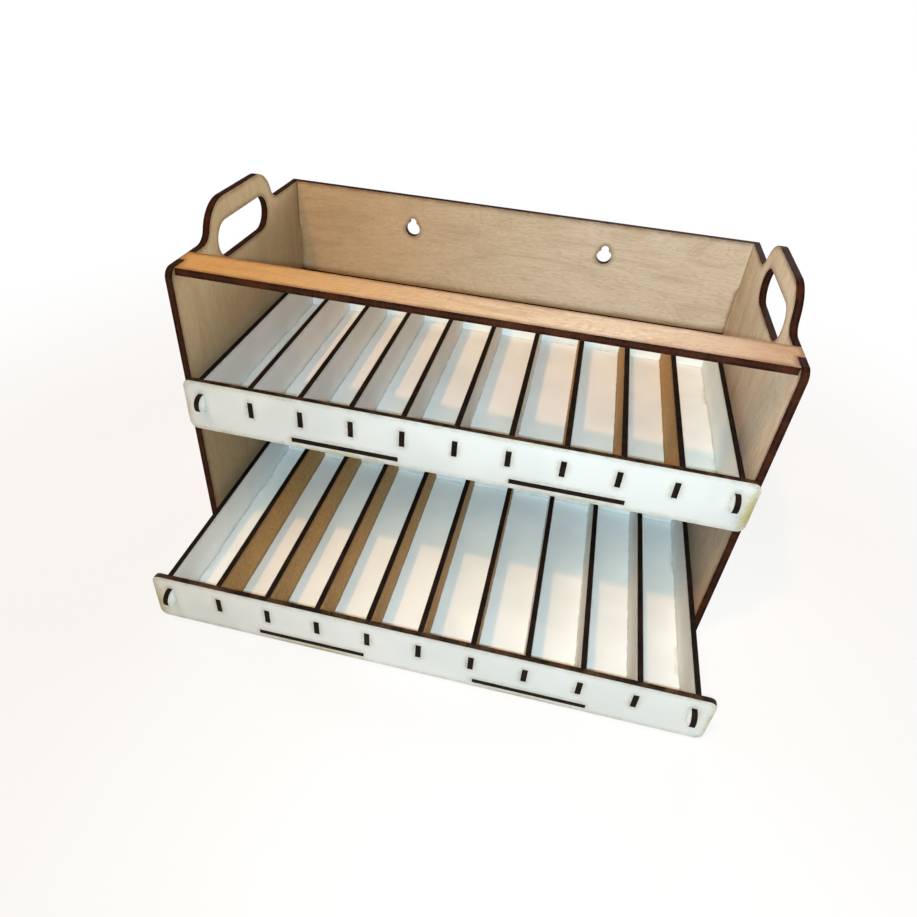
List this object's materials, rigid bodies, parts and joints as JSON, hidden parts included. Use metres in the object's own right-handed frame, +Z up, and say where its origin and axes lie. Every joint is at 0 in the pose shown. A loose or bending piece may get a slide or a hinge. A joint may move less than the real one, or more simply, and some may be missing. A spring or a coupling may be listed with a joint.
{
  "type": "hobby workstation organizer",
  "caption": "Open laser-cut desktop organizer case with carrying handles, a top rail and wall keyholes, holding pull-out trays divided into long channels for dropper bottles.",
  "frame": {"origin": "centre of the whole object's footprint, lower tray pulled out, on the surface it stands on", "axes": "+Z up, front faces -Y, +X to the right seen from the front"},
  "size_m": [0.31, 0.2364, 0.2075],
  "materials": {
    "plywood": "raw birch plywood, burnt edges",
    "white_hardboard": "white-faced hardboard, burnt edges"
  },
  "bodies": {
    "case": {"left_side_panel": "plywood", "right_side_panel": "plywood", "back_panel": "plywood", "top_rail": "plywood", "base_board": "plywood", "shelf_1": "plywood"},
    "upper_tray": {"upper_front_panel": "white_hardboard", "upper_floor": "white_hardboard", "upper_rear_wall": "white_hardboard", "upper_left_wall": "white_hardboard", "upper_right_wall": "white_hardboard", "upper_divider_1": "white_hardboard", "upper_divider_2": "white_hardboard", "upper_divider_3": "white_hardboard", "upper_divider_4": "white_hardboard", "upper_divider_5": "white_hardboard", "upper_divider_6": "white_hardboard", "upper_divider_7": "white_hardboard", "upper_divider_8": "white_hardboard", "upper_divider_9": "white_hardboard"},
    "lower_tray": {"lower_front_panel": "white_hardboard", "lower_floor": "white_hardboard", "lower_rear_wall": "white_hardboard", "lower_left_wall": "white_hardboard", "lower_right_wall": "white_hardboard", "lower_divider_1": "white_hardboard", "lower_divider_2": "white_hardboard", "lower_divider_3": "white_hardboard", "lower_divider_4": "white_hardboard", "lower_divider_5": "white_hardboard", "lower_divider_6": "white_hardboard", "lower_divider_7": "white_hardboard", "lower_divider_8": "white_hardboard", "lower_divider_9": "white_hardboard"}
  },
  "joints": [
    {"name": "upper_tray_slide", "type": "slide", "parent": "case", "child": "upper_tray", "axis": [0, -1, 0], "range_m": [0, 0.08]},
    {"name": "lower_tray_slide", "type": "slide", "parent": "case", "child": "lower_tray", "axis": [0, -1, 0], "range_m": [-0.063, 0.017]}
  ]
}
